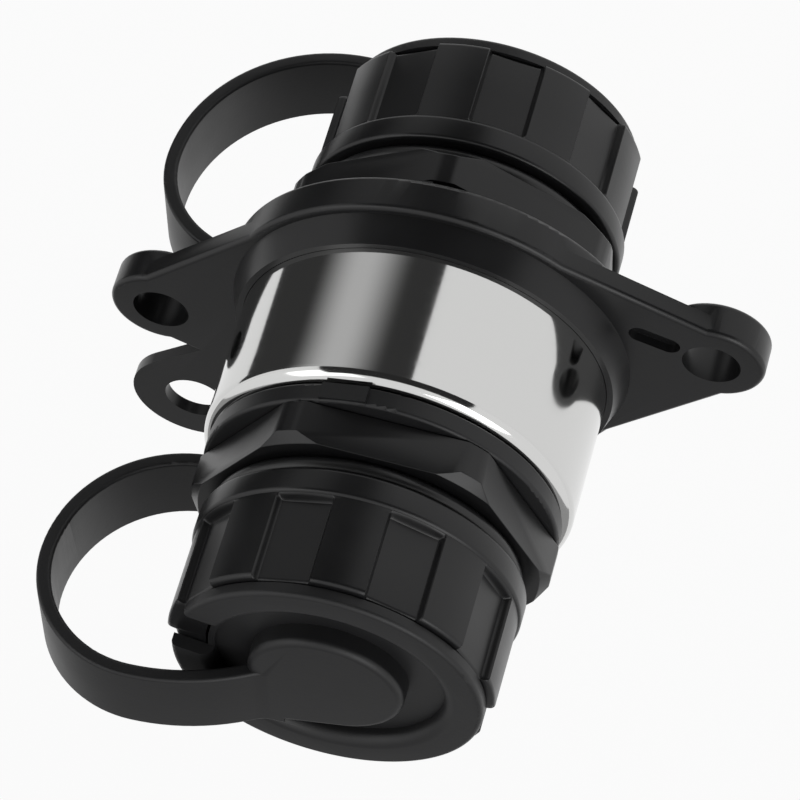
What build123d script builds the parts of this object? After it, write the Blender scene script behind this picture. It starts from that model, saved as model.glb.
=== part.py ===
from build123d import *
import math
import os

# Sealed ethernet coupler: a plated barrel carries a threaded fitting at each end,
# a flange with two ears is clamped behind the barrel, and a screw cap on a flat
# rubber strap closes each port. Z runs along the coupler, Z = 0 is the flange's
# mounting face, and X runs through the two ears. All sizes are in millimetres.

os.makedirs("parts", exist_ok=True)

# Barrel
barrel_d = 28.0
barrel_wall_t = 2.55
barrel_length = 12.9
barrel_seat_z = 0.6
barrel_edge_r = 1.1
barrel_far_edge_r = 0.3
barrel_seat_gap = 0.03

# Flange
flange_disc_border = 0.7
flange_t = 2.9
web_t = 1.6
hub_lip_t = 0.5
hub_slope = 0.8
hub_height = 2.2
ear_pitch = 43.3
ear_end_r = 4.0
ear_hole_d = 4.4
web_inset = 0.55
flange_edge_r = 0.45
ear_pocket_length = 4.0
ear_pocket_width = 1.7
ear_pocket_depth = 0.7
ear_pocket_x = 17.7
ear_pocket_y = 2.45
ear_pocket_turn = -28.0
lug_x = -21.9
lug_y = -12.0
lug_end_r = 5.0
lug_hole_d = 4.8
lug_t = 1.0

# Threaded end fittings
hex_trim_d = 27.0
hex_flat_inset = 1.4
hex_length = 3.2
hex_chamfer = 0.7
near_hex_turn = 45.0
far_hex_turn = 20.0
spigot_gap = 0.05
nose_d = 20.7
nose_length = 7.8
nose_edge = 0.5
fitting_bore_d = 17.8
neck_d = 23.6

# Strap: a neck ring, a flat band bent into a loop and a dished head
ring_t = 1.6
ring_inset = 0.1
ring_play = 0.1
key_width = 3.5
key_height = 1.3
key_proud = 0.15
strap_azimuth = 169.0
strap_width = 6.9
strap_front_w = -0.1
strap_t = 1.1
strap_edge_r = 0.3
near_loop_reach = 22.45
near_loop_neck_r = 9.9
near_loop_cap_r = 8.35
near_loop_dip = 27.0
near_loop_dip_r = 18.0
far_loop_reach = 23.3
far_loop_neck_r = 7.8
far_loop_cap_r = 12.15
far_loop_dip = 35.0
far_loop_dip_r = 12.0
loop_end_r = 3.0
loop_end_flat = 1.0
head_rim_d = 23.0
head_rim_inner_d = 17.0
head_rim_t = 1.0
head_floor_t = 0.8
head_wall_t = 0.5
head_edge_r = 0.4
head_lip_r = 1.0
head_boss_d = 11.6
head_boss_rise = 0.5
head_boss_edge_r = 0.6
head_boss_reach = 4.8
rim_notch_from = 143.0
rim_notch_to = 167.0
stud_d = 5.0
stud_below_wall = 1.1

# Screw cap
cap_side_t = 1.6
cap_collar_step = 0.2
cap_collar_length = 2.1
cap_gap = 1.5
cap_skirt_below_wall = 7.2
cap_wall_t = 0.9
cap_well_depth = 1.0
cap_thread_gap = 0.15
cap_panel_count = 9
cap_panel_width = 4.2
cap_panel_depth = 0.75
cap_edge = 0.35
near_cap_turn = 55.0
far_cap_turn = 68.5
cap_run_gap = 0.1
cap_swivel_gap = 0.2

# Seals and cap washer
gasket_t = 0.8
gasket_inner_d = 15.0
gasket_edge_gap = 0.1
seal_section_d = 0.9
seal_groove_play = 0.02
nose_seal_section_d = 1.4
washer_t = 0.5
washer_d = 8.4

# Port inserts, contacts and board
board_t = 1.6
board_edge_gap = 0.6
insert_gap = 0.05
insert_mouth_step = 1.9
retainer_t = 0.9
retainer_wall_t = 0.7
port_width = 11.8
port_top = 4.2
port_bottom = -3.2
latch_width = 6.5
latch_bottom = -5.0
latch_slot_width = 3.8
latch_slot_bottom = -6.3
port_depth = 13.0
contact_count = 8
contact_pitch = 1.02
contact_width = 0.4
contact_t = 0.3
contact_y = 5.4
contact_rise = 12.4
contact_bend_r = 0.55
contact_bend = 150.0
contact_arm = 5.4
contact_slot_play = 0.12
pin_hole_d = 0.9

# Diameters that follow a neighbour
barrel_bore_d = barrel_d - 2 * barrel_wall_t
hub_top_d = barrel_d + 2 * hub_lip_t
hub_base_d = hub_top_d + 2 * hub_slope
flange_disc_d = hub_base_d + 2 * flange_disc_border
ring_outer_d = hex_trim_d - 2 * ring_inset
hex_across_flats = hex_trim_d - 2 * hex_flat_inset
cap_bore_d = nose_d + 2 * cap_thread_gap
cap_d = cap_bore_d + 2 * cap_side_t
cap_collar_d = cap_d + 2 * cap_collar_step

# Levels along the coupler
barrel_near_z = barrel_seat_z + barrel_length
flange_far_z = -flange_t
near_ring_z = barrel_near_z
far_ring_z = flange_far_z
ring_space = ring_t + 2 * ring_play
near_hex_z = near_ring_z + ring_space
far_hex_z = far_ring_z - ring_space
spigot_d = barrel_bore_d - 2 * spigot_gap
fitting_outside = hex_length + nose_length
near_nose_z = near_hex_z + fitting_outside
far_nose_z = far_hex_z - fitting_outside
board_z = (near_nose_z + far_nose_z) / 2
board_near_z = board_z + board_t / 2
board_far_z = board_z - board_t / 2
insert_length = near_nose_z - insert_mouth_step - board_near_z


def disc(diameter, z0, z1):
    """A plain round solid on the axis between two levels."""
    return Pos(0, 0, z0) * Cylinder(diameter / 2, z1 - z0, align=(Align.CENTER, Align.CENTER, Align.MIN))


def tube(outer_d, inner_d, z0, z1):
    """A round wall on the axis between two levels."""
    return disc(outer_d, z0, z1) - disc(inner_d, z0 - 1, z1 + 1)


def block(x0, x1, y0, y1, z0, z1):
    """A rectangular solid given by its faces."""
    corner = (Align.MIN, Align.MIN, Align.MIN)
    return Pos(x0, y0, z0) * Box(x1 - x0, y1 - y0, z1 - z0, align=corner)


def seal_ring(inner_d, section_d, z):
    """An O-ring that lies at one level, given by its inner diameter."""
    return Pos(0, 0, z) * Torus(inner_d / 2 + section_d / 2, section_d / 2)


def circle_edges(solid, diameter, z):
    """The round edges of one diameter at one level."""
    found = solid.edges().filter_by(GeomType.CIRCLE)
    return [e for e in found if abs(e.radius - diameter / 2) < 1e-3 and abs(e.center().Z - z) < 1e-3]


def at_near(solid, z, turn=0):
    """Place a solid built outwards from level 0 at the near end."""
    return Pos(0, 0, z) * Rot(0, 0, turn) * solid


def at_far(solid, z, turn=0):
    """Place the same solid at the far end, pointing the other way."""
    return Pos(0, 0, z) * Rot(0, 0, turn) * Rot(180, 0, 0) * solid


def bent_strip(start, heading, runs, thickness):
    """A flat face of even thickness along straight runs (length, 0) and arcs (radius, turn)."""
    sides = []
    for side in (1, -1):
        angle = math.radians(heading)
        x = start[0] - side * thickness / 2 * math.sin(angle)
        y = start[1] + side * thickness / 2 * math.cos(angle)
        edges = []
        for size, turn in runs:
            if turn == 0:
                end = (x + size * math.cos(angle), y + size * math.sin(angle))
                edges.append(Line((x, y), end))
            else:
                bend = math.copysign(1, turn)
                radius = size - bend * side * thickness / 2
                edges.append(JernArc((x, y), (math.cos(angle), math.sin(angle)), radius, turn))
                centre_x = x - bend * radius * math.sin(angle)
                centre_y = y + bend * radius * math.cos(angle)
                angle += math.radians(turn)
                end = (centre_x + bend * radius * math.sin(angle), centre_y - bend * radius * math.cos(angle))
            x, y = end
        sides.append((edges, (x, y)))
    first = Line(sides[0][0][0] @ 0, sides[1][0][0] @ 0)
    last = Line(sides[0][1], sides[1][1])
    return make_face(Wire(sides[0][0] + [last] + sides[1][0] + [first]).edges())


def make_barrel():
    """The plated barrel with its rounded near edge."""
    barrel = tube(barrel_d, barrel_bore_d, barrel_seat_z, barrel_near_z)
    barrel = fillet(circle_edges(barrel, barrel_d, barrel_near_z), barrel_edge_r)
    return fillet(circle_edges(barrel, barrel_d, barrel_seat_z), barrel_far_edge_r)


def make_flange():
    """The moulded flange: disc, two thick ears, a thin lanyard lug and a coned hub."""
    ear_x = ear_pitch / 2
    flange = disc(flange_disc_d, flange_far_z, 0)
    flange = fillet(flange.edges().filter_by(GeomType.CIRCLE), flange_edge_r)
    for side in (1, -1):
        ear = Pos(side * ear_x, 0) * disc(2 * ear_end_r, flange_far_z, 0)
        ear = fillet(ear.edges().filter_by(GeomType.CIRCLE), flange_edge_r)
        ends = [Circle(flange_disc_d / 2 - web_inset), Pos(side * ear_x, 0) * Circle(ear_end_r - web_inset)]
        outline = make_hull([edge for end in ends for edge in end.edges()])
        web = Pos(0, 0, -web_t) * extrude(outline, web_t)
        flange += ear + fillet(web.edges().group_by(Axis.Z)[-1], flange_edge_r)
    lug_outline = make_hull(
        [
            *(Pos(lug_x, lug_y) * Circle(lug_end_r)).edges(),
            *(Pos(lug_x / 2, lug_y / 2) * Circle(lug_end_r)).edges(),
        ]
    )
    flange += Pos(0, 0, -lug_t) * extrude(lug_outline, lug_t)
    hub = Cone(hub_base_d / 2, hub_top_d / 2, hub_height, align=(Align.CENTER, Align.CENTER, Align.MIN))
    flange += hub
    flange -= disc(barrel_d + 2 * barrel_seat_gap, barrel_seat_z, hub_height + 1)
    flange -= disc(barrel_bore_d, flange_far_z - 1, barrel_seat_z + 1)
    flange -= Pos(lug_x, lug_y, 0) * Cylinder(lug_hole_d / 2, 4 * flange_t)
    for side in (1, -1):
        flange -= Pos(side * ear_x, 0, 0) * Cylinder(ear_hole_d / 2, 4 * flange_t)
    pocket = extrude(SlotOverall(ear_pocket_length, ear_pocket_width), flange_t)
    flange -= Pos(ear_pocket_x, ear_pocket_y, -ear_pocket_depth) * Rot(0, 0, ear_pocket_turn) * pocket
    return flange


def make_fitting(hex_turn, spigot_length):
    """A hexagonal fitting, built outwards from the seat of its hexagon at level 0."""
    hexagon = Rot(0, 0, hex_turn) * extrude(RegularPolygon(hex_across_flats / 2, 6, major_radius=False), hex_length)
    limit = disc(hex_trim_d, 0, hex_length)
    limit = chamfer(circle_edges(limit, hex_trim_d, hex_length), hex_chamfer)
    fitting = hexagon & limit
    nose = disc(nose_d, hex_length, fitting_outside)
    nose = chamfer(circle_edges(nose, nose_d, fitting_outside), nose_edge)
    fitting += nose
    fitting += disc(neck_d, -ring_space, 0)
    fitting += disc(spigot_d, -spigot_length, -ring_space)
    fitting -= disc(fitting_bore_d, -spigot_length - 1, fitting_outside + 1)
    groove_d = barrel_bore_d - 2 * seal_section_d
    groove_z = -spigot_length + 2 * seal_section_d
    fitting -= tube(barrel_d, groove_d, groove_z - seal_section_d / 2, groove_z + seal_section_d / 2)
    return fitting


def spigot_seal(spigot_length):
    """The O-ring in the spigot's groove, in the fitting's own frame."""
    section = seal_section_d - 2 * seal_groove_play
    inner_d = barrel_bore_d - 2 * seal_section_d + 2 * seal_groove_play
    return seal_ring(inner_d, section, -spigot_length + 2 * seal_section_d)


def nose_seal():
    """The O-ring at the root of the thread, in the fitting's own frame."""
    return seal_ring(nose_d + 2 * seal_groove_play, nose_seal_section_d, hex_length + nose_seal_section_d / 2)


def make_insert():
    """A moulded port insert, built outwards from the board at level 0."""
    insert = disc(fitting_bore_d - 2 * insert_gap, 0, insert_length)
    floor_z = insert_length - port_depth
    mouth_z = insert_length + 1
    insert -= block(-port_width / 2, port_width / 2, port_bottom, port_top, floor_z, mouth_z)
    insert -= block(-latch_width / 2, latch_width / 2, latch_bottom, port_bottom, floor_z, mouth_z)
    insert -= block(-latch_slot_width / 2, latch_slot_width / 2, latch_slot_bottom, latch_bottom, floor_z, mouth_z)
    slot_half = contact_width / 2 + contact_slot_play
    slot_top = contact_y + contact_t / 2 + contact_slot_play
    slot_end = contact_rise + contact_bend_r + contact_t
    for index in range(contact_count):
        x = (index - (contact_count - 1) / 2) * contact_pitch
        insert -= block(x - slot_half, x + slot_half, port_top - contact_pitch, slot_top, -1, slot_end)
    return insert


def make_contacts():
    """Eight hairpin spring contacts with their board pins, from the board's face at level 0."""
    runs = [(contact_rise + board_t / 2, 0), (contact_bend_r, contact_bend), (contact_arm, 0)]
    strip = bent_strip((contact_y, -board_t / 2), 90, runs, contact_t)
    contact = extrude(Plane.YZ * strip, contact_width / 2, both=True)
    places = range(contact_count)
    return [Pos((i - (contact_count - 1) / 2) * contact_pitch, 0, 0) * contact for i in places]


def make_retainer():
    """The snap ring that holds an insert in its fitting."""
    outer_d = fitting_bore_d - 2 * insert_gap
    return tube(outer_d, outer_d - 2 * retainer_wall_t, insert_length, insert_length + retainer_t)


def make_board():
    """The round board clamped between the two spigots."""
    board = disc(barrel_bore_d - 2 * board_edge_gap, board_far_z, board_near_z)
    for index in range(contact_count):
        x = (index - (contact_count - 1) / 2) * contact_pitch
        for y in (contact_y, -contact_y):
            board -= Pos(x, y, board_z) * Cylinder(pin_hole_d / 2, 2 * board_t)
    return board


# The cap and the strap's head are built outwards from the cap's open end at level 0.
cap_wall_z = cap_skirt_below_wall
cap_well_z = cap_wall_z + cap_wall_t
cap_end_z = cap_well_z + cap_well_depth
head_floor_z = cap_well_z + cap_run_gap
head_rim_z = cap_end_z + cap_run_gap
head_top_z = head_rim_z + head_rim_t
head_boss_z = head_top_z + head_boss_rise
head_well_d = head_rim_inner_d + 2 * head_wall_t


def make_cap():
    """A screw cap with a collar, recessed grip panels and a well for the strap's head."""
    cap = disc(cap_d, 0, cap_end_z)
    cap = chamfer(circle_edges(cap, cap_d, cap_end_z), cap_edge)
    flat_x = cap_d / 2 - cap_panel_depth
    panel = block(flat_x, cap_d, -cap_panel_width / 2, cap_panel_width / 2, cap_collar_length, cap_end_z + 1)
    for index in range(cap_panel_count):
        cap -= Rot(0, 0, index * 360 / cap_panel_count) * panel
    collar = disc(cap_collar_d, 0, cap_collar_length)
    cap += fillet(circle_edges(collar, cap_collar_d, cap_collar_length), cap_edge)
    cap -= disc(cap_bore_d, -1, cap_wall_z)
    cap -= disc(head_well_d + 2 * cap_swivel_gap, cap_well_z, cap_end_z + 1)
    cap -= disc(stud_d + 2 * cap_swivel_gap, cap_wall_z - 1, cap_well_z + 1)
    return cap


def make_gasket():
    """The flat sealing ring under the cap's end wall."""
    return tube(cap_bore_d - 2 * gasket_edge_gap, gasket_inner_d, cap_wall_z - gasket_t, cap_wall_z)


def make_washer():
    """The push-on washer that keeps the stud in the cap."""
    top = cap_wall_z - cap_run_gap
    return tube(washer_d, stud_d, top - washer_t, top)


def make_head():
    """The strap's dished head with its stud, before the band joins it."""
    rim = tube(head_rim_d, head_rim_inner_d, head_rim_z, head_top_z)
    rim = fillet(circle_edges(rim, head_rim_d, head_top_z), head_edge_r)
    head = rim + tube(head_well_d, head_rim_inner_d, head_floor_z, head_top_z)
    head = fillet(circle_edges(head, head_rim_inner_d, head_top_z), head_lip_r)
    head += disc(head_well_d, head_floor_z, head_floor_z + head_floor_t)
    return head + disc(stud_d, cap_wall_z - stud_below_wall, head_floor_z)


def strap_axes():
    """Unit vectors across the coupler: outwards along the band, and towards its front edge."""
    angle = math.radians(strap_azimuth)
    return Vector(math.cos(angle), math.sin(angle), 0), Vector(math.sin(angle), -math.cos(angle), 0)


def band_plane(z, outward):
    """The strap's side plane: X outwards along the band, Y along the coupler, Z to the front edge."""
    along, front = strap_axes()
    origin = front * (strap_front_w - strap_width if outward > 0 else strap_front_w)
    return Plane(origin=origin + Vector(0, 0, z), x_dir=along, z_dir=front * outward)


def make_boss(low, high):
    """The round boss in the dish, drawn out on one side to the band's full width."""
    along, front = strap_axes()
    inset = strap_t / 2
    outline = Circle(head_boss_d / 2).edges()
    for across in (strap_front_w - inset, strap_front_w - strap_width + inset):
        corner = along * head_boss_reach + front * across
        outline += (Pos(corner.X, corner.Y) * Circle(inset)).edges()
    return Pos(0, 0, low) * extrude(make_hull(outline), high - low)


def make_strap(ring_z, cap_z, outward, reach, neck_r, cap_r, dip, dip_r):
    """One rubber strap: neck ring, band and head, for the end that points outward (1 or -1)."""
    place = at_near if outward > 0 else at_far
    ring_mid = ring_play + ring_t / 2
    cap_offset = (cap_z - ring_z) * outward
    boss_mid = cap_offset + head_boss_z - strap_t / 2
    top_mid = ring_mid + neck_r + cap_r
    dip_angle = math.radians(dip)
    fall = top_mid - boss_mid - (dip_r + loop_end_r) * (1 - math.cos(dip_angle))
    runs = [
        (reach - neck_r - nose_d / 2, 0),
        (neck_r, 90),
        (cap_r, 90),
        (dip_r, dip),
        (fall / math.sin(dip_angle), 0),
        (loop_end_r, -dip),
        (loop_end_flat, 0),
    ]
    plane = band_plane(ring_z, outward)
    strip = bent_strip((nose_d / 2, ring_mid), 0, runs, strap_t)
    band = extrude(plane * strip, strap_width)
    side_edges = band.edges().group_by(Axis((0, 0, 0), tuple(plane.z_dir)))
    band = fillet(side_edges[0] + side_edges[-1], strap_edge_r)
    ring = disc(ring_outer_d, ring_play, ring_play + ring_t)
    ring_ends = circle_edges(ring, ring_outer_d, ring_play) + circle_edges(ring, ring_outer_d, ring_play + ring_t)
    ring = place(fillet(ring_ends, strap_edge_r), ring_z)
    key_y = ring_outer_d / 2 + key_proud
    key = Pos(0, key_y / 2, ring_z + outward * ring_mid) * Box(key_width, key_y, key_height)
    strap = ring + key + band
    strap -= place(disc(neck_d + 2 * ring_play, -1, ring_space + 1), ring_z)
    head = place(make_head(), cap_z)
    notch_mid = (rim_notch_from + rim_notch_to) / 2
    notch_width = head_rim_d / 2 * math.radians(rim_notch_to - rim_notch_from)
    notch = block(head_rim_inner_d / 2 - head_wall_t, head_rim_d, -notch_width / 2, notch_width / 2, 0, 2 * head_rim_t)
    notch_z = cap_z + outward * (head_rim_z + head_rim_t) - head_rim_t
    head -= Pos(0, 0, notch_z) * Rot(0, 0, notch_mid) * notch
    boss_ends = sorted((cap_z + outward * head_floor_z, cap_z + outward * head_boss_z))
    boss = make_boss(*boss_ends)
    boss_levels = boss.edges().group_by(Axis.Z)
    boss = fillet(boss_levels[-1] if outward > 0 else boss_levels[0], head_boss_edge_r)
    return strap + head + boss


def save(node, shape):
    """Write one named piece."""
    solids = shape if isinstance(shape, list) else [shape]
    solids = [s for item in solids for s in item.solids()]
    piece = solids[0] if len(solids) == 1 else Compound(children=solids)
    piece.label = node
    export_step(piece, f"parts/{node}.step")
    print(node, len(solids), round(sum(s.volume for s in solids), 2))


near_cap_z = near_hex_z + hex_length + cap_gap
far_cap_z = far_hex_z - hex_length - cap_gap
near_spigot = near_hex_z - board_near_z
far_spigot = board_far_z - far_hex_z

save("barrel", make_barrel())
save("flange", make_flange())
save("circuit_board", make_board())

save("near_fitting", at_near(make_fitting(near_hex_turn, near_spigot), near_hex_z))
save("far_fitting", at_far(make_fitting(-far_hex_turn, far_spigot), far_hex_z))
save("near_spigot_seal", at_near(spigot_seal(near_spigot), near_hex_z))
save("far_spigot_seal", at_far(spigot_seal(far_spigot), far_hex_z))
save("near_nose_seal", at_near(nose_seal(), near_hex_z))
save("far_nose_seal", at_far(nose_seal(), far_hex_z))

save("near_port_insert", at_near(make_insert(), board_near_z))
save("far_port_insert", at_far(make_insert(), board_far_z))
save("near_contacts", [at_near(c, board_near_z) for c in make_contacts()])
save("far_contacts", [at_far(c, board_far_z) for c in make_contacts()])
save("near_retainer", at_near(make_retainer(), board_near_z))
save("far_retainer", at_far(make_retainer(), board_far_z))

save("near_cap", at_near(make_cap(), near_cap_z, near_cap_turn))
save("far_cap", at_far(make_cap(), far_cap_z, far_cap_turn))
save("near_cap_gasket", at_near(make_gasket(), near_cap_z))
save("far_cap_gasket", at_far(make_gasket(), far_cap_z))
save("near_cap_washer", at_near(make_washer(), near_cap_z))
save("far_cap_washer", at_far(make_washer(), far_cap_z))

near_loop = (near_loop_reach, near_loop_neck_r, near_loop_cap_r, near_loop_dip, near_loop_dip_r)
far_loop = (far_loop_reach, far_loop_neck_r, far_loop_cap_r, far_loop_dip, far_loop_dip_r)
save("near_strap", make_strap(near_ring_z, near_cap_z, 1, *near_loop))
save("far_strap", make_strap(far_ring_z, far_cap_z, -1, *far_loop))

print("near nose", round(near_nose_z, 3), "far nose", round(far_nose_z, 3), "board", round(board_z, 3))
print("near cap", round(near_cap_z, 3), "far cap", round(far_cap_z, 3), "cap end", round(cap_end_z, 3))
print("insert length", round(insert_length, 3), "near hex", near_hex_z, "far hex", far_hex_z)
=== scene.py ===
# %% [markdown]
# # Sealed ethernet coupler
# A plated barrel stands in a black flange with two ears. A threaded fitting sits in
# each end of the barrel, and a screw cap closes each port. Each cap hangs on a flat
# rubber strap that ends in a dished head.
# The solids come in as a fixed frame, and the steps below dress or replace them. Z runs
# along the axis, and the near end is the upper one. Lengths are in metres, except where
# a name ends in _mm.

# %% Load the frame
import math

import bmesh
import bpy
from mathutils import Matrix, Vector


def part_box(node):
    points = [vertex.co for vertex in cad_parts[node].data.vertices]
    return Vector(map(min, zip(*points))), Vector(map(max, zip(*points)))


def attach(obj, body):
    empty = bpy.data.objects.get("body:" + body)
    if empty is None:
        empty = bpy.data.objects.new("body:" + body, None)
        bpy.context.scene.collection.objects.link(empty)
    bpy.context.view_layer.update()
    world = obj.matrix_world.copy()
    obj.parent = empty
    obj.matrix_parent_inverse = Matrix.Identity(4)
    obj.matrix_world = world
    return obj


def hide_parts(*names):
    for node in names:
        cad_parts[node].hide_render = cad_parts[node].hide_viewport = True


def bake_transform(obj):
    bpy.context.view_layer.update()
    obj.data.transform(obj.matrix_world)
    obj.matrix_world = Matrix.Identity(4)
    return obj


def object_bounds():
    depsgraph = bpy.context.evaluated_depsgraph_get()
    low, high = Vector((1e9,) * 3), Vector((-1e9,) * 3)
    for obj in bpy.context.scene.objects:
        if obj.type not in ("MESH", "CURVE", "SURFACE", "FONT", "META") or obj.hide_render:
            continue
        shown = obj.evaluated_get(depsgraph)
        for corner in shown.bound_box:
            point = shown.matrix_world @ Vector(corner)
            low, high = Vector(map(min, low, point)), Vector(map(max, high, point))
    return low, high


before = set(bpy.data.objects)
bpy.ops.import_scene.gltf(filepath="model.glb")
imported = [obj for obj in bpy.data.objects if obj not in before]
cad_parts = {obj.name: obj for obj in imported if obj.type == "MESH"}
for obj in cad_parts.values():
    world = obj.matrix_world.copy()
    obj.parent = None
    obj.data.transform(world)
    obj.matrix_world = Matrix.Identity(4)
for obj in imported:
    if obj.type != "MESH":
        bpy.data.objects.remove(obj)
cad_low, cad_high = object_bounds()
MM = 0.001
ENDS = {"near": 1, "far": -1}

# %% [markdown]
# ## Two small helpers for every node tree
# Colours are written as sRGB hex, because that is how a colour card gives them, and
# one function turns them to the linear values that a shader wants. One function adds
# a node and fills or links its inputs, in material and geometry trees alike.

# %% Colour and node helpers


def linear(hex_colour):
    """An sRGB hex colour as linear red, green, blue and alpha."""
    channels = [int(hex_colour[i:i + 2], 16) / 255 for i in (1, 3, 5)]
    return [c / 12.92 if c <= 0.04045 else ((c + 0.055) / 1.055) ** 2.4 for c in channels] + [1.0]


def add_node(tree, kind, inputs=None, **settings):
    """Add a node, set its properties, and give each named input a value or a link."""
    node = tree.nodes.new(kind)
    for name, value in settings.items():
        setattr(node, name, value)
    for key, value in (inputs or {}).items():
        if isinstance(value, bpy.types.NodeSocket):
            tree.links.new(value, node.inputs[key])
        else:
            node.inputs[key].default_value = value
    return node


print("mid grey", [round(c, 3) for c in linear("#808080")])

# %% [markdown]
# ## Moulded nylon and rubber
# Flange, fittings and caps are injection-moulded nylon. The tool's fine face leaves an
# even grain, so the black has broad, soft highlights and is never mirror-like. Noise at
# the grain's size gives a slight bump, and a slower noise makes the gloss uneven, as
# handling does. The straps and seals are rubber: duller, with a coarser skin. The real
# grain is near 0.05 mm, too fine to show here, so it is drawn a few times coarser.

# %% Moulded finishes
cloud_grains = 20
gloss_swing = 0.04


def start_material(name, **shader_inputs):
    """A material with a Principled shader, its tree, and the object's own coordinates."""
    material = bpy.data.materials.new(name)
    material.use_nodes = True
    tree = material.node_tree
    tree.nodes.clear()
    inputs = {key.replace("_", " "): value for key, value in shader_inputs.items()}
    shader = add_node(tree, "ShaderNodeBsdfPrincipled", inputs)
    add_node(tree, "ShaderNodeOutputMaterial", {"Surface": shader.outputs[0]})
    place = add_node(tree, "ShaderNodeTexCoord").outputs["Object"]
    return material, tree, shader, place


def moulded(name, dark, light, roughness, ior, grain_mm, relief_mm):
    """A moulded plastic or rubber: two close shades, an uneven gloss and a grain."""
    material, tree, shader, place = start_material(name, IOR=ior)
    grain = add_node(
        tree, "ShaderNodeTexNoise",
        {"Vector": place, "Scale": 1 / (grain_mm * MM), "Detail": 2.0, "Roughness": 0.6},
    )
    cloud = add_node(
        tree, "ShaderNodeTexNoise",
        {"Vector": place, "Scale": 1 / (cloud_grains * grain_mm * MM), "Detail": 3.0},
    )
    shade = add_node(
        tree, "ShaderNodeMix",
        {"Factor": cloud.outputs["Fac"], "A": linear(dark), "B": linear(light)},
        data_type="RGBA",
    )
    gloss = add_node(
        tree, "ShaderNodeMapRange",
        {"Value": cloud.outputs["Fac"], "From Min": 0.3, "From Max": 0.7,
         "To Min": roughness - gloss_swing, "To Max": roughness + gloss_swing},
    )
    relief = add_node(
        tree, "ShaderNodeBump",
        {"Height": grain.outputs["Fac"], "Strength": 1.0, "Distance": relief_mm * MM},
    )
    tree.links.new(shade.outputs["Result"], shader.inputs["Base Color"])
    tree.links.new(gloss.outputs["Result"], shader.inputs["Roughness"])
    tree.links.new(relief.outputs["Normal"], shader.inputs["Normal"])
    return material


# Nylon: a deep neutral black with a satin sheen on every facet.
nylon = moulded(
    "Nylon, injection moulded", "#111112", "#161617",
    roughness=0.32, ior=1.42, grain_mm=0.3, relief_mm=0.003,
)
# Polyester: the port inserts, a shade greyer and a little glossier.
insert_plastic = moulded(
    "Polyester, injection moulded", "#1c1c1d", "#232324",
    roughness=0.3, ior=1.5, grain_mm=0.25, relief_mm=0.003,
)
# EPDM rubber: the straps, a touch lighter than the nylon, with a soft dull skin.
strap_rubber = moulded(
    "EPDM rubber, moulded", "#151516", "#1b1b1c",
    roughness=0.44, ior=1.42, grain_mm=0.35, relief_mm=0.006,
)
# Nitrile rubber: the O-rings, very dark, slightly greased.
seal_rubber = moulded(
    "Nitrile rubber, moulded", "#101011", "#141415",
    roughness=0.36, ior=1.5, grain_mm=0.3, relief_mm=0.003,
)
print("moulded", [m.name for m in (nylon, insert_plastic, strap_rubber, seal_rubber)])

# %% [markdown]
# ## Bright nickel plate and spring metals
# The barrel is turned brass, polished and nickel-plated. Plating evens the tool marks
# out, so the eye gets a near mirror with a faint warm grey. What is left of the turning
# is a streak that runs round the barrel, drawn by noise that is stretched round it.

# %% Metal finishes
streak_stretch = (0.03, 0.03, 1.0)
streak_swing = 0.4


def plated(name, colour, roughness, streak_mm, relief_mm):
    """A plated or bare metal whose fine streaks run round the coupler's axis."""
    material, tree, shader, place = start_material(name, Metallic=1.0)
    shader.inputs["Base Color"].default_value = linear(colour)
    stretched = add_node(tree, "ShaderNodeMapping", {"Vector": place, "Scale": streak_stretch})
    streaks = add_node(
        tree, "ShaderNodeTexNoise",
        {"Vector": stretched.outputs["Vector"], "Scale": 1 / (streak_mm * MM), "Detail": 3.0},
    )
    gloss = add_node(
        tree, "ShaderNodeMapRange",
        {"Value": streaks.outputs["Fac"],
         "To Min": roughness * (1 - streak_swing), "To Max": roughness * (1 + streak_swing)},
    )
    relief = add_node(
        tree, "ShaderNodeBump",
        {"Height": streaks.outputs["Fac"], "Strength": 1.0, "Distance": relief_mm * MM},
    )
    tree.links.new(gloss.outputs["Result"], shader.inputs["Roughness"])
    tree.links.new(relief.outputs["Normal"], shader.inputs["Normal"])
    return material


# Nickel: nearly a mirror, so the barrel is drawn by what stands round it.
nickel = plated(
    "Brass, turned and bright nickel plated", "#cfcfce",
    roughness=0.09, streak_mm=0.4, relief_mm=0.0004,
)
# Spring steel: bare and grey, with a satin rolled face.
spring_steel = plated(
    "Spring steel, stamped", "#9b9ea2", roughness=0.3, streak_mm=0.2, relief_mm=0.002
)
# Gold flash: a thin warm yellow over bronze springs.
gold_flash = plated(
    "Phosphor bronze, gold flashed", "#e0b25a", roughness=0.22, streak_mm=0.1, relief_mm=0.001
)
print("metals", [m.name for m in (nickel, spring_steel, gold_flash)])

# %% [markdown]
# ## Circuit board
# The small board is glass-fibre laminate under green solder mask. The weave shows
# faintly through the mask, so two crossed waves at the weave's pitch lift the green.
# A wave texture of scale 1 has 20 / tau waves to the metre, which gives the scale.

# %% Solder mask over glass laminate
laminate, tree, shader, place = start_material("Glass laminate, solder masked", Roughness=0.35)
weave_pitch = 0.5 * MM
waves_at_scale_1 = 20 / math.tau
weave_x, weave_y = (
    add_node(
        tree, "ShaderNodeTexWave",
        {"Vector": place, "Scale": 1 / (waves_at_scale_1 * weave_pitch), "Distortion": 0.5},
        bands_direction=direction,
    )
    for direction in ("X", "Y")
)
weave = add_node(
    tree, "ShaderNodeMath",
    {0: weave_x.outputs["Fac"], 1: weave_y.outputs["Fac"]}, operation="MULTIPLY",
)
mask = add_node(
    tree, "ShaderNodeMix",
    {"Factor": weave.outputs[0], "A": linear("#0f4a2c"), "B": linear("#1b6a40")},
    data_type="RGBA",
)
tree.links.new(mask.outputs["Result"], shader.inputs["Base Color"])
print("weave pitch", weave_pitch)

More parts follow.
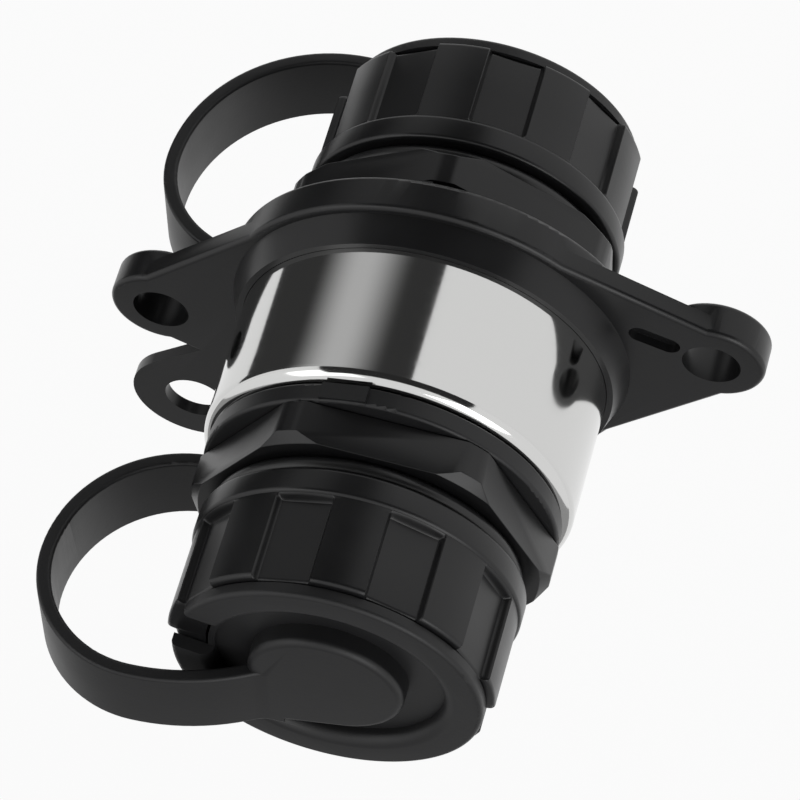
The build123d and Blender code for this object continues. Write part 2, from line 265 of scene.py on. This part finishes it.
# %% [markdown]
# ## Dress the solids that stay
# A solid whose shape is right stays as it is and only gets its finish: the board, the
# inserts, contacts, rings and seals, most of which only show when a cap comes up.

# %% Finishes for the solids that stay


def finish(mesh, material):
    """Give a mesh one material."""
    mesh.materials.clear()
    mesh.materials.append(material)


finishes = {"circuit_board": laminate}
for end in ENDS:
    finishes |= {
        f"{end}_port_insert": insert_plastic,
        f"{end}_contacts": gold_flash,
        f"{end}_retainer": spring_steel,
        f"{end}_cap_washer": spring_steel,
        f"{end}_cap_gasket": seal_rubber,
        f"{end}_nose_seal": seal_rubber,
        f"{end}_spigot_seal": seal_rubber,
    }
for node, material in finishes.items():
    finish(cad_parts[node].data, material)
print("dressed", len(finishes), "of", len(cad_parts))

# %% [markdown]
# ## Helpers for the pieces that replace a solid
# A new piece starts either as a mesh of its own or as a copy of a solid. The copy's
# loose triangles are merged first, so that neighbouring faces share their corners.
# Every piece then gets smooth shading up to an angle, and most ride on a body in place
# of their solid, which is hidden.

# %% Piece helpers
weld = 0.001 * MM
flat_deg = 0.3
bevel_from_deg = 35


def new_piece(name, mesh, material, crease_deg=30):
    """An object at the origin for a finished mesh, smooth wherever it bends gently."""
    finish(mesh, material)
    mesh.shade_smooth()
    mesh.set_sharp_from_angle(angle=math.radians(crease_deg))
    piece = bpy.data.objects.new(name, mesh)
    bpy.context.collection.objects.link(piece)
    return piece


def merged_copy(node, name):
    """A solid's triangles as one joined mesh, flat faces dissolved."""
    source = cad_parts[node].data
    mesh = bpy.data.meshes.new(name)
    mesh.from_pydata([v.co for v in source.vertices], [], [p.vertices for p in source.polygons])
    work = bmesh.new()
    work.from_mesh(mesh)
    bmesh.ops.remove_doubles(work, verts=work.verts, dist=weld)
    bmesh.ops.dissolve_limit(
        work, angle_limit=math.radians(flat_deg), verts=work.verts, edges=work.edges
    )
    work.to_mesh(mesh)
    work.free()
    return mesh


def stand_in(piece, body, node):
    """Let a piece ride on a body in place of a solid."""
    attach(piece, body)
    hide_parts(node)


def soften(piece, width_mm):
    """A small rounding on every crisp edge, as a mould or a file leaves it."""
    bevel = piece.modifiers.new("soft edges", "BEVEL")
    bevel.width = width_mm * MM
    bevel.segments = 2
    bevel.limit_method = "ANGLE"
    bevel.angle_limit = math.radians(bevel_from_deg)
    bevel.harden_normals = True


print("points are welded within", weld, "and edges softened from", bevel_from_deg, "degrees")

# %% [markdown]
# ## The barrel
# The barrel is a turned tube. A closed profile spun round the axis is how a lathe makes
# it, and a fine spin matters here: a mirror finish would show the facets of a coarse
# one. The near end has a large rounded edge that catches a thin bright line.

# %% Turn the barrel


def turned(name, profile, steps):
    """A closed profile of (radius, height) points spun round the Z axis."""
    count = len(profile)
    points = []
    for step in range(steps):
        angle = math.tau * step / steps
        points += [(r * math.cos(angle), r * math.sin(angle), z) for r, z in profile]
    faces = []
    for step in range(steps):
        here, there = step * count, (step + 1) % steps * count
        for k in range(count):
            k_next = (k + 1) % count
            faces.append((here + k, there + k, there + k_next, here + k_next))
    mesh = bpy.data.meshes.new(name)
    mesh.from_pydata(points, [], faces)
    work = bmesh.new()
    work.from_mesh(mesh)
    bmesh.ops.recalc_face_normals(work, faces=work.faces)
    work.to_mesh(mesh)
    work.free()
    return mesh


def rounded(corner_r, corner_z, radius, from_deg, to_deg, steps):
    """Profile points of an arc about a centre, between two angles in degrees."""
    turns = [math.radians(from_deg + (to_deg - from_deg) * i / steps) for i in range(steps + 1)]
    return [(corner_r + radius * math.cos(t), corner_z + radius * math.sin(t)) for t in turns]


low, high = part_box("barrel")
barrel_r = high.x
barrel_wall = 2.55 * MM
near_edge, far_edge = 1.1 * MM, 0.3 * MM
near_edge_steps, far_edge_steps = 12, 5
side_steps, round_steps = 6, 360
side_low, side_high = low.z + far_edge, high.z - near_edge
barrel_profile = (
    [(barrel_r - barrel_wall, low.z)]
    + rounded(barrel_r - far_edge, side_low, far_edge, -90, 0, far_edge_steps)
    + [(barrel_r, side_low + (side_high - side_low) * i / side_steps) for i in range(1, side_steps)]
    + rounded(barrel_r - near_edge, side_high, near_edge, 0, 90, near_edge_steps)
    + [(barrel_r - barrel_wall, high.z)]
)
barrel_mesh = turned("turned_barrel", barrel_profile, round_steps)
barrel = new_piece("turned_barrel", barrel_mesh, nickel)
stand_in(barrel, "coupler", "barrel")
print("barrel faces", len(barrel.data.polygons))

# %% [markdown]
# ## The flange
# The flange is one moulding, and its solid already has every form. A merged copy with a
# small rounding on each crisp edge is enough: the ear holes, the hub's lip and the
# pocket then catch light as a moulding does.

# %% Flange
flange_edge_mm = 0.08
flange = new_piece("moulded_flange", merged_copy("flange", "moulded_flange"), nylon)
soften(flange, flange_edge_mm)
stand_in(flange, "coupler", "flange")
print("flange corners", len(flange.data.vertices))

# %% [markdown]
# ## Geometry trees: what they share
# What repeats or follows a rule is made by a small Geometry Nodes tree. Each tree has
# named inputs for its sizes, realizes its copies, joins what meets and sets the finish.
# The inputs are named in the script, so a reader can open the tree and try others.

# %% Start and end a geometry tree
seam_gap = 0.002 * MM


def start_tree(name, inputs):
    """A geometry tree with named inputs, and the sockets that give their values."""
    tree = bpy.data.node_groups.new(name, "GeometryNodeTree")
    for label, kind in inputs.items():
        tree.interface.new_socket(label, in_out="INPUT", socket_type="NodeSocket" + kind)
    tree.interface.new_socket("Mesh", in_out="OUTPUT", socket_type="NodeSocketGeometry")
    return tree, add_node(tree, "NodeGroupInput").outputs


def end_tree(tree, geometry, material):
    """Realize the copies, join what meets, set the finish and send the result out."""
    real = add_node(tree, "GeometryNodeRealizeInstances", {"Geometry": geometry})
    merged = add_node(
        tree, "GeometryNodeMergeByDistance", {"Geometry": real.outputs[0], "Distance": seam_gap}
    )
    dressed = add_node(
        tree, "GeometryNodeSetMaterial", {"Geometry": merged.outputs[0], "Material": material}
    )
    add_node(tree, "NodeGroupOutput", {"Mesh": dressed.outputs[0]})


print("seams are joined within", seam_gap)

# %% [markdown]
# ## Run a tree and join its result
# A tree runs as a modifier on a carrier that is only there for it. The result is taken
# out as a plain mesh, because a plain mesh can be placed, joined to others and exported.

# %% Run a tree and join meshes


def grow(name, tree, values, mesh=None):
    """Run a tree, on a mesh if it starts from one, and keep the result as a plain mesh."""
    carrier = bpy.data.objects.new(name + "_carrier", mesh or bpy.data.meshes.new(name + "_seed"))
    bpy.context.collection.objects.link(carrier)
    modifier = carrier.modifiers.new("grow", "NODES")
    modifier.node_group = tree
    sockets = {s.name: s.identifier for s in tree.interface.items_tree if s.in_out == "INPUT"}
    for key, value in values.items():
        modifier[sockets[key]] = value
    graph = bpy.context.evaluated_depsgraph_get()
    made = bpy.data.meshes.new_from_object(carrier.evaluated_get(graph))
    made.name = name
    bpy.data.objects.remove(carrier)
    return made


def joined(name, *parts):
    """Several meshes as one, with every face turned outwards."""
    work = bmesh.new()
    for part in parts:
        work.from_mesh(part)
    bmesh.ops.recalc_face_normals(work, faces=work.faces)
    mesh = bpy.data.meshes.new(name)
    work.to_mesh(mesh)
    work.free()
    return mesh


print("meshes so far", len(bpy.data.meshes))

# %% [markdown]
# ## A tree that winds a thread
# The nose of each fitting carries a coarse thread, and the cap climbs it when it turns.
# A thread is a profile that follows a helix: a spiral curve of the right radius and
# pitch, with a trapezoid swept along it. The curve's normal is kept level, so that the
# trapezoid stands straight out from the nose all the way up.

# %% Thread tree
thread_tree, given = start_tree(
    "Wind a thread",
    {"Radius": "Float", "Pitch": "Float", "Turns": "Float", "Depth": "Float", "Finish": "Material"},
)
foot_share, crest_share = 0.8, 0.25
steps_a_turn = 96


def scaled(value, factor):
    """A tree value times a factor."""
    return add_node(
        thread_tree, "ShaderNodeMath", {0: value, 1: factor}, operation="MULTIPLY"
    ).outputs[0]


helix = add_node(
    thread_tree, "GeometryNodeCurveSpiral",
    {"Resolution": steps_a_turn, "Rotations": given["Turns"], "Start Radius": given["Radius"],
     "End Radius": given["Radius"], "Height": scaled(given["Pitch"], given["Turns"]),
     "Reverse": True},
)
level = add_node(
    thread_tree, "GeometryNodeSetCurveNormal", {"Curve": helix.outputs[0]}, mode="Z_UP"
)
ridge = add_node(
    thread_tree, "GeometryNodeCurvePrimitiveQuadrilateral",
    {"Bottom Width": scaled(given["Pitch"], foot_share),
     "Top Width": scaled(given["Pitch"], crest_share), "Height": given["Depth"], "Offset": 0.0},
    mode="TRAPEZOID",
)
outwards = add_node(
    thread_tree, "GeometryNodeTransform",
    {"Geometry": ridge.outputs[0], "Rotation": (0.0, 0.0, math.radians(-90))},
)
swept = add_node(
    thread_tree, "GeometryNodeCurveToMesh",
    {"Curve": level.outputs[0], "Profile Curve": outwards.outputs[0], "Fill Caps": True},
)
end_tree(thread_tree, swept.outputs[0], given["Finish"])
print("thread inputs", [s.name for s in thread_tree.interface.items_tree if s.in_out == "INPUT"])

# %% [markdown]
# ## The threaded fittings
# A fitting is a hexagon with a threaded nose. Its solid has a plain nose, so the copy's
# nose is cut round at the thread's start and drawn in to the thread's root. The wound
# ridge is joined on, with its crest where the solid's nose was, so the thread stays
# inside the solid's own size. The seal keeps the full diameter under it.

# %% Fittings
nose_r = 10.35 * MM
root_r = 9.75 * MM
nose_length = 7.8 * MM
seal_land = 1.9 * MM
thread_pitch = 1.5 * MM
thread_turns = 3
thread_lead = 0.9 * MM
sink = 0.1 * MM
fitting_edge_mm = 0.06


def draw_in_nose(mesh, tip, outward):
    """Cut the nose at the seal's land and draw it in to the root from there to the tip."""
    work = bmesh.new()
    work.from_mesh(mesh)
    for level in (seal_land, seal_land + nose_r - root_r):
        place = Vector((0, 0, tip - outward * (nose_length - level)))
        bmesh.ops.bisect_plane(
            work, geom=work.verts[:] + work.edges[:] + work.faces[:], dist=weld,
            plane_co=place, plane_no=(0, 0, 1),
        )
    for corner in work.verts:
        from_tip = (tip - corner.co.z) * outward
        radius = corner.co.xy.length
        if radius > root_r and from_tip < nose_length - seal_land - sink:
            corner.co.xy *= root_r / radius
    work.to_mesh(mesh)
    work.free()


def make_fitting(end, outward):
    """A fitting with its thread, for one end."""
    name = f"{end}_threaded_fitting"
    body = merged_copy(f"{end}_fitting", name + "_body")
    low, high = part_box(f"{end}_fitting")
    tip = high.z if outward > 0 else low.z
    draw_in_nose(body, tip, outward)
    thread = grow(
        name + "_thread", thread_tree,
        {"Radius": (nose_r + root_r - sink) / 2, "Pitch": thread_pitch,
         "Turns": float(thread_turns), "Depth": nose_r - root_r + sink, "Finish": nylon},
    )
    start = tip - outward * (thread_turns * thread_pitch + thread_lead)
    for corner in thread.vertices:
        x, y, z = corner.co
        corner.co = (x, y * outward, start + z * outward)
    piece = new_piece(name, joined(name, body, thread), nylon)
    soften(piece, fitting_edge_mm)
    stand_in(piece, "coupler", f"{end}_fitting")
    return piece


fittings = [make_fitting(end, outward) for end, outward in ENDS.items()]
print("fittings", [(p.name, len(p.data.polygons)) for p in fittings])

# %% [markdown]
# ## A tree that repeats a sector
# The screw cap has nine equal grip panels. One ninth of the cap is enough to model: the
# tree sets it on points that all lie on the axis, each turned one step further, and
# joins the seams. A mould maker thinks of the cap in the same way.

# %% Repeat tree
repeat_tree, given = start_tree(
    "Repeat round the axis", {"Sector": "Geometry", "Count": "Int", "Finish": "Material"}
)
points = add_node(
    repeat_tree, "GeometryNodeMeshLine", {"Count": given["Count"], "Offset": (0, 0, 0)}
)
step = add_node(
    repeat_tree, "ShaderNodeMath", {0: math.tau, 1: given["Count"]}, operation="DIVIDE"
)
place_in_row = add_node(repeat_tree, "GeometryNodeInputIndex")
turn = add_node(
    repeat_tree, "ShaderNodeMath",
    {0: place_in_row.outputs[0], 1: step.outputs[0]}, operation="MULTIPLY",
)
turned_by = add_node(repeat_tree, "ShaderNodeCombineXYZ", {"Z": turn.outputs[0]})
copies = add_node(
    repeat_tree, "GeometryNodeInstanceOnPoints",
    {"Points": points.outputs[0], "Instance": given["Sector"], "Rotation": turned_by.outputs[0]},
)
end_tree(repeat_tree, copies.outputs[0], given["Finish"])
print("repeat inputs", [s.name for s in repeat_tree.interface.items_tree if s.in_out == "INPUT"])

# %% [markdown]
# ## The cap's grip panels
# Where a panel is, the cap's round wall steps back to a flat face, so that fingers can
# grip it. A mould needs soft corners, and a soft S curve at the panel's two sides gives
# them. It costs a few columns of faces, and no bevel has to find those edges later.

# %% Panel depth
cap_r = 12.1 * MM
panel_flat = 11.35 * MM
panel_half_deg, panel_lip_deg = 9.5, 10.7


def smooth_step(value, low, high):
    """0 below low, 1 above high, and a soft S between."""
    share = min(max((value - low) / (high - low), 0), 1)
    return share * share * (3 - 2 * share)


def panel_depth(angle_deg):
    """How far a panel's floor lies inside the cap's round side, at an angle from its middle."""
    flat = cap_r - panel_flat / math.cos(math.radians(angle_deg))
    return flat * (1 - smooth_step(abs(angle_deg), panel_half_deg, panel_lip_deg))


print("panel depth at its middle", round(panel_depth(0), 6))

# %% [markdown]
# ## The cap's section
# A turned part is drawn as half of its section. This one runs from the open end up the
# collar, the side and the end, and back down through the strap's well and the bore. Each
# point also says how much of a panel's depth it takes: none at the collar, all on the
# side, and a soft S between them.

# %% Cap section
collar_r, cap_bore_r = 12.3 * MM, 10.5 * MM
cap_edge = 0.35 * MM
collar_length = 2.1 * MM
panel_rise = 0.35 * MM
wall_z, well_z, cap_end_z = 7.2 * MM, 8.1 * MM, 9.1 * MM
well_r, stud_hole_r = 9.2 * MM, 2.7 * MM
brow_deg = 65
collar_arc_steps, rise_steps, end_arc_steps = 4, 5, 5


def cap_profile():
    """The cap's closed section: (radius, height, share of the panel's depth) a point."""
    side_low, side_high = collar_length + panel_rise, cap_end_z - cap_edge
    collar_mid = collar_r - cap_edge
    foot = rounded(collar_mid, cap_edge, cap_edge, -90, 0, collar_arc_steps)
    brow = rounded(collar_mid, collar_length - cap_edge, cap_edge, 0, brow_deg, collar_arc_steps)
    rows = [(r, z, 0.0) for r, z in foot + brow]
    for i in range(rise_steps + 1):
        z = collar_length + panel_rise * i / rise_steps
        rows.append((cap_r, z, smooth_step(z, collar_length, side_low)))
    rows.append((cap_r, (side_low + side_high) / 2, 1.0))
    shoulder = rounded(cap_r - cap_edge, side_high, cap_edge, 0, 90, end_arc_steps)
    rows += [(r, z, 1.0) for r, z in shoulder]
    inside = [(well_r, cap_end_z), (well_r, well_z), (stud_hole_r, well_z), (stud_hole_r, wall_z),
              (cap_bore_r, wall_z), (cap_bore_r, 0.0)]
    return rows + [(r, z, 0.0) for r, z in inside]


print("points in the section", len(cap_profile()))

# %% [markdown]
# ## One sector of the cap
# The sector is the section swept through its share of the circle, from the middle of
# one rib to the middle of the next. Its columns stand close where the panel's side
# curves and wide apart on the rib, so that no face is spent where nothing bends.

# %% Cap sector
panel_count = 9
flat_columns, lip_columns = 7, 5
rib_columns_deg = [13.5, 16.8]


def cap_sector():
    """One sector of the cap, open where the next one joins it."""
    half = 180 / panel_count
    lip_step = (panel_lip_deg - panel_half_deg) / lip_columns
    flat = [panel_half_deg * i / flat_columns for i in range(1, flat_columns)]
    lip = [panel_half_deg + lip_step * i for i in range(lip_columns + 1)]
    right = flat + lip + rib_columns_deg + [half]
    angles = [-a for a in reversed(right)] + [0] + right
    rows = cap_profile()
    corners = []
    for angle in angles:
        depth = panel_depth(angle)
        a = math.radians(angle)
        for r, z, share in rows:
            reach = r - share * depth
            corners.append((reach * math.cos(a), reach * math.sin(a), z))
    faces = []
    for column in range(len(angles) - 1):
        here, there = column * len(rows), (column + 1) * len(rows)
        for k in range(len(rows)):
            k_next = (k + 1) % len(rows)
            faces.append((here + k, there + k, there + k_next, here + k_next))
    mesh = bpy.data.meshes.new("cap_sector")
    mesh.from_pydata(corners, [], faces)
    return mesh


sector = cap_sector()
print("sector faces", len(sector.polygons))

# %% [markdown]
# ## The screw caps
# Both caps come from the same mould. The near one opens downwards and the far one is
# turned over, and each has stopped at its own angle on the thread. Every sector is the
# same, so the caps are grown by the tree, and only placing them is left to do here.

# %% Caps
cap_turn_deg = {"near": 55.0, "far": 68.5}


def make_cap(end, outward):
    """One cap, turned to where it stopped, with its open end towards the barrel."""
    name = f"{end}_screw_cap"
    whole = grow(name + "_grown", repeat_tree, {"Count": panel_count, "Finish": nylon}, sector)
    low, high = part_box(f"{end}_cap")
    start = low.z if outward > 0 else high.z
    flip = Matrix.Diagonal((1, outward, outward, 1))
    turn = Matrix.Rotation(math.radians(cap_turn_deg[end]), 4, "Z")
    whole.transform(Matrix.Translation((0, 0, start)) @ turn @ flip)
    piece = new_piece(name, joined(name, whole), nylon)
    stand_in(piece, name, f"{end}_cap")
    return piece


caps = [make_cap(end, outward) for end, outward in ENDS.items()]
print("caps", [(p.name, len(p.data.polygons)) for p in caps])

# %% [markdown]
# ## The rubber straps
# A strap is one rubber moulding: a ring round the fitting's neck, a flat band and a
# dished head that swivels in the cap. The solid has the right shape, so a merged copy
# with softened edges takes its place.

# %% Straps
strap_edge_mm = 0.08


def make_strap(end):
    """One strap, a merged copy of its solid with softened edges."""
    name = f"{end}_rubber_strap"
    piece = new_piece(name, merged_copy(f"{end}_strap", name), strap_rubber)
    soften(piece, strap_edge_mm)
    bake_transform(piece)
    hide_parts(f"{end}_strap")
    return piece


straps = [make_strap(end) for end in ENDS]
print("straps", [(p.name, len(p.data.polygons)) for p in straps])

# %% [markdown]
# ## Camera
# The camera stands where the photograph was taken: about 0.3 m away, 32 degrees above
# the flange's plane and turned over, so that the near cap is at the foot of the picture.
# Place, turn and lens come from fitting the coupler's ellipses and outline.

# %% Camera
camera_place = Vector((94.42, 253.66, 168.8)) * MM
camera_right = Vector((0.9483, -0.1954, -0.2503)).normalized()
camera_up = Vector((-0.1001, 0.564, -0.8197)).normalized()
camera_lens_mm, camera_sensor_mm = 191.89, 36.0
camera_nearest = 0.01
camera_data = bpy.data.cameras.new("camera")
camera_data.lens = camera_lens_mm
camera_data.sensor_width = camera_sensor_mm
camera_data.clip_start = camera_nearest
camera = bpy.data.objects.new("camera", camera_data)
camera_back = camera_right.cross(camera_up).normalized()
camera_up = camera_back.cross(camera_right)
camera.matrix_world = Matrix.Translation(camera_place) @ Matrix(
    (camera_right, camera_up, camera_back)
).transposed().to_4x4()
bpy.context.collection.objects.link(camera)
bpy.context.scene.camera = camera
print("camera distance", round(camera_place.length, 3))

# %% [markdown]
# ## Sky
# The part is shown by itself in a plain white room. Rays from the camera and from glossy
# surfaces meet white, while the light that falls on the part stays at a plain level, so
# that colours render about as they are written. Turning the light up instead would wash
# the black mouldings out.

# %% Sky
sky_light = 0.5


def white_to_lens(tree):
    """A factor that is 1 for rays that come from the camera, a gloss or a clear piece."""
    path = add_node(tree, "ShaderNodeLightPath")
    first = add_node(
        tree, "ShaderNodeMath",
        {0: path.outputs["Is Camera Ray"], 1: path.outputs["Is Glossy Ray"]}, operation="MAXIMUM",
    )
    return add_node(
        tree, "ShaderNodeMath",
        {0: first.outputs[0], 1: path.outputs["Is Transmission Ray"]}, operation="MAXIMUM",
    ).outputs[0]


world = bpy.data.worlds.new("studio")
world.use_nodes = True
bpy.context.scene.world = world
sky = world.node_tree
sky.nodes.clear()
strength = add_node(
    sky, "ShaderNodeMapRange", {"Value": white_to_lens(sky), "To Min": sky_light, "To Max": 1.0}
)
background = add_node(
    sky, "ShaderNodeBackground",
    {"Color": linear("#ffffff"), "Strength": strength.outputs["Result"]},
)
add_node(sky, "ShaderNodeOutputWorld", {"Surface": background.outputs[0]})
print("sky light on the part", sky_light)

# %% [markdown]
# ## Floor
# The photograph shows no ground, only white, so the floor lies clear below the part. Its
# paper is matt and takes light and shadow, and the lens sees it mostly as plain white,
# with a trace of the shadow left.

# %% Floor
floor_drop = 60 * MM
floor_half = 2.5
floor_z = cad_low.z - floor_drop
paper_white = 0.9
floor_mesh = bpy.data.meshes.new("floor")
floor_corners = [
    (x * floor_half, y * floor_half, floor_z) for x, y in ((-1, -1), (1, -1), (1, 1), (-1, 1))
]
floor_mesh.from_pydata(floor_corners, [], [(0, 1, 2, 3)])
floor = bpy.data.objects.new("floor", floor_mesh)
bpy.context.collection.objects.link(floor)
# Paper: matt white, with no gloss at all.
paper = bpy.data.materials.new("Paper, matt white")
paper.use_nodes = True
tree = paper.node_tree
tree.nodes.clear()
matt = add_node(tree, "ShaderNodeBsdfDiffuse", {"Color": linear("#f4f4f4")})
white = add_node(tree, "ShaderNodeEmission", {"Color": linear("#ffffff"), "Strength": 1.0})
share = add_node(
    tree, "ShaderNodeMath", {0: white_to_lens(tree), 1: paper_white}, operation="MULTIPLY"
)
mixed = add_node(
    tree, "ShaderNodeMixShader", {0: share.outputs[0], 1: matt.outputs[0], 2: white.outputs[0]}
)
add_node(tree, "ShaderNodeOutputMaterial", {"Surface": mixed.outputs[0]})
floor_mesh.materials.append(paper)
print("floor at", round(floor_z, 4))

# %% [markdown]
# ## Cards for the reflections
# A mirror-like barrel is drawn by what stands round it. In a product studio, black and
# grey cards beside the set give plated metal its dark bands and keep satin black plastic
# black. The cards here give their own even light and only show in reflections, so they
# neither shade the part nor stand in the picture.

# %% Card helpers


def tone(dark, light, share):
    """A linear grey between two hex greys."""
    return [d + (w - d) * share for d, w in zip(linear(dark), linear(light))]


def card(name, corners, faces, tones):
    """A glowing card, with a painted tone for each corner, that only shows in reflections."""
    mesh = bpy.data.meshes.new(name)
    mesh.from_pydata(corners, [], faces)
    shades = mesh.color_attributes.new("tone", "FLOAT_COLOR", "POINT")
    for shade, value in zip(shades.data, tones):
        shade.color = value
    material = bpy.data.materials.new(name)
    material.use_nodes = True
    tree = material.node_tree
    tree.nodes.clear()
    painted = add_node(tree, "ShaderNodeAttribute", attribute_name="tone")
    light = add_node(tree, "ShaderNodeEmission", {"Color": painted.outputs["Color"]})
    add_node(tree, "ShaderNodeOutputMaterial", {"Surface": light.outputs[0]})
    mesh.materials.append(material)
    board = bpy.data.objects.new(name, mesh)
    bpy.context.collection.objects.link(board)
    board.visible_camera = False
    board.visible_diffuse = False
    board.visible_shadow = False
    board.visible_transmission = False
    return board


def aim(azimuth, elevation, distance):
    """A point in a direction in degrees, as seen from the middle of the coupler."""
    a, e = math.radians(azimuth), math.radians(elevation)
    return Vector((math.cos(a) * math.cos(e), math.sin(a) * math.cos(e), math.sin(e))) * distance


def fan(azimuths, reaches, steps, point):
    """Corners and faces of a grid that fans round the coupler, and each corner's azimuth."""
    first, last = azimuths
    turns = [first + (last - first) * i / steps for i in range(steps + 1)]
    corners = [point(turn, reach) for turn in turns for reach in reaches]
    row = len(reaches)
    faces = [
        (i * row + k, (i + 1) * row + k, (i + 1) * row + k + 1, i * row + k + 1)
        for i in range(steps) for k in range(row - 1)
    ]
    return corners, faces, [turn for turn in turns for _ in reaches]


print("half tone", [round(c, 3) for c in tone("#000000", "#ffffff", 0.5)])

# %% [markdown]
# ## The card on the floor
# The barrel mirrors the floor in front of it. The card there glows dark at both ends and
# pale in its middle. This painted reflection puts a bright band between two dark ones,
# as in the photo.

# %% Card on the floor
card_lift = 2 * MM
front_azimuths, front_reaches, front_steps = (72.5, 181), (0.07, 0.6), 54
pale_azimuth, pale_half_deg, fade_end_deg = 119, 2, 30


def on_floor(azimuth, reach):
    """A point just above the floor, in a direction and at a reach."""
    x, y, _ = aim(azimuth, 0, reach)
    return x, y, floor_z + card_lift


corners, faces, turns = fan(front_azimuths, front_reaches, front_steps, on_floor)
from_pale = [abs(turn - pale_azimuth) for turn in turns]
# Painted reflection: the tones glow pale at the middle azimuth and fade to dark at both ends.
front_tones = [
    tone("#3a3a3a", "#cacaca", 1 - smooth_step(off, pale_half_deg, fade_end_deg))
    for off in from_pale
]
front_card = card("reflection_band_card_in_front", corners, faces, front_tones)
print("card", front_card.name, "faces", len(faces))

# %% [markdown]
# ## The cards behind and round the lens
# Faces that look up mirror what stands behind the part, and faces that look at the
# camera mirror the camera's side. In the photo these faces are dark, so a grey card
# stands behind the part and a darker one round the lens.

# %% Cards on a dome
dome_r = 0.55
dome_steps, dome_row_deg = 20, 6
# Each dome card glows evenly in its grey, a painted reflection tone that only glossy faces see.
dome_cards = {
    "grey_card_behind": ((195, 300), (4, 76), "#a4a4a4"),
    "dark_card_round_lens": ((35, 125), (-8, 34), "#303030"),
}


def on_dome(azimuth, elevation):
    """A point on a dome round the coupler."""
    return tuple(aim(azimuth, elevation, dome_r))


for name, (azimuths, (lowest, highest), grey) in dome_cards.items():
    rows = tuple(range(lowest, highest + 1, dome_row_deg))
    corners, faces, _ = fan(azimuths, rows, dome_steps, on_dome)
    card(name, corners, faces, [linear(grey)] * len(corners))
    print("card", name, "faces", len(faces))

# %% [markdown]
# ## Lamps
# Two broad soft lamps do what a pair of soft boxes does. The one over the near end draws
# the edges of the caps, and the one at the camera's left lights the collars and the ears.

# %% Lamps


def soft_lamp(name, azimuth, elevation, distance, size, power):
    """A square area lamp that looks at the coupler from a direction in degrees."""
    data = bpy.data.lights.new(name, "AREA")
    data.size = size
    data.energy = power
    lamp = bpy.data.objects.new(name, data)
    away = aim(azimuth, elevation, distance)
    lamp.location = away
    lamp.rotation_euler = away.to_track_quat("Z", "Y").to_euler()
    bpy.context.collection.objects.link(lamp)
    return lamp


lamps = [
    soft_lamp("key", azimuth=20, elevation=55, distance=0.7, size=0.4, power=1.2),
    soft_lamp("fill", azimuth=130, elevation=35, distance=0.8, size=0.5, power=0.8),
]
print("lamps", [lamp.name for lamp in lamps])

# %% [markdown]
# ## Colour management
# The Standard view shows each colour as it is written, while a film-like one would grey
# the white and lift the black.

# %% Colour management
bpy.context.scene.view_settings.view_transform = "Standard"
